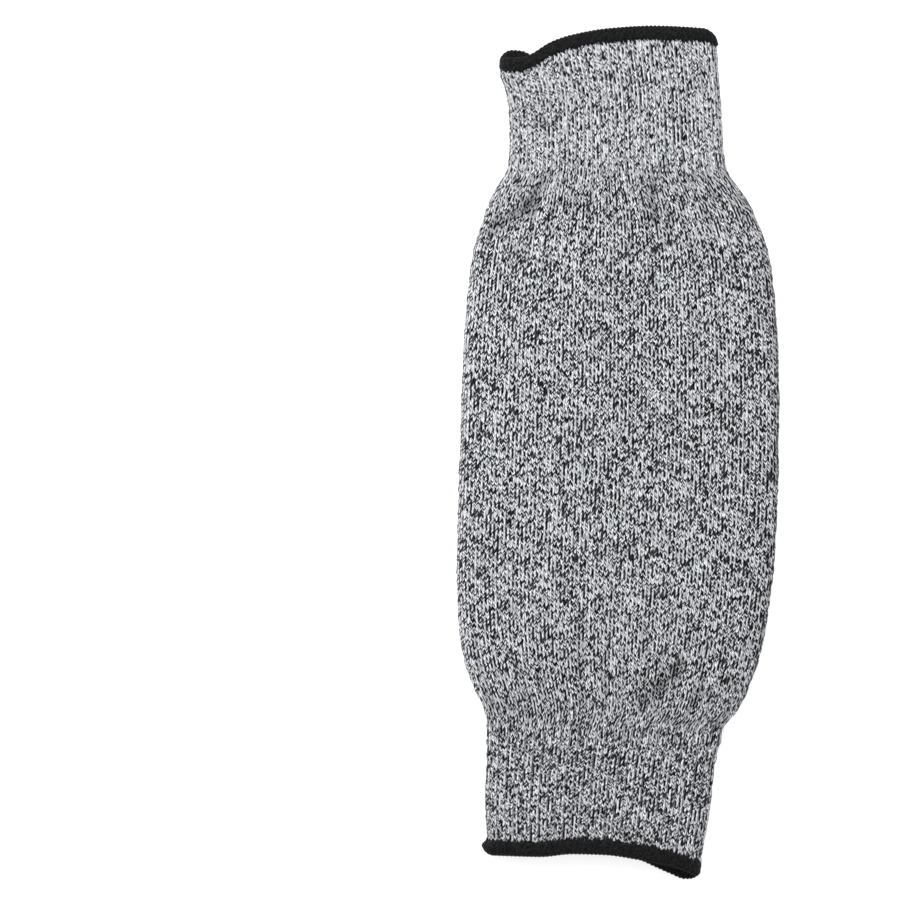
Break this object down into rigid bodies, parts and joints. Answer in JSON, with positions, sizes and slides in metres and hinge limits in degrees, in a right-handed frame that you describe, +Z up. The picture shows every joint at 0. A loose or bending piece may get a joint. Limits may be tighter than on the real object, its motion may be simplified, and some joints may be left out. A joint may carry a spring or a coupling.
{
  "type": "cut resistant sleeve",
  "caption": "Seamless knitted forearm sleeve lying flat, with ribbed elbow and wrist cuffs and black overlocked edges, open at both ends.",
  "frame": {"origin": "on the surface that the sleeve lies on, under the middle of its box", "axes": "+Y along the sleeve from wrist to elbow, +Z up through the upper layer, +X to the right seen from above"},
  "size_m": [0.1358, 0.3598, 0.0179],
  "materials": {
    "marled_knit": "matte marled knit of light grey and charcoal yarn",
    "black_overlock_yarn": "matte black textured overlock yarn"
  },
  "bodies": {
    "root": {"knit_tube": "marled_knit", "wrist_overlock_edge": "black_overlock_yarn", "elbow_overlock_edge": "black_overlock_yarn"}
  },
  "joints": []
}
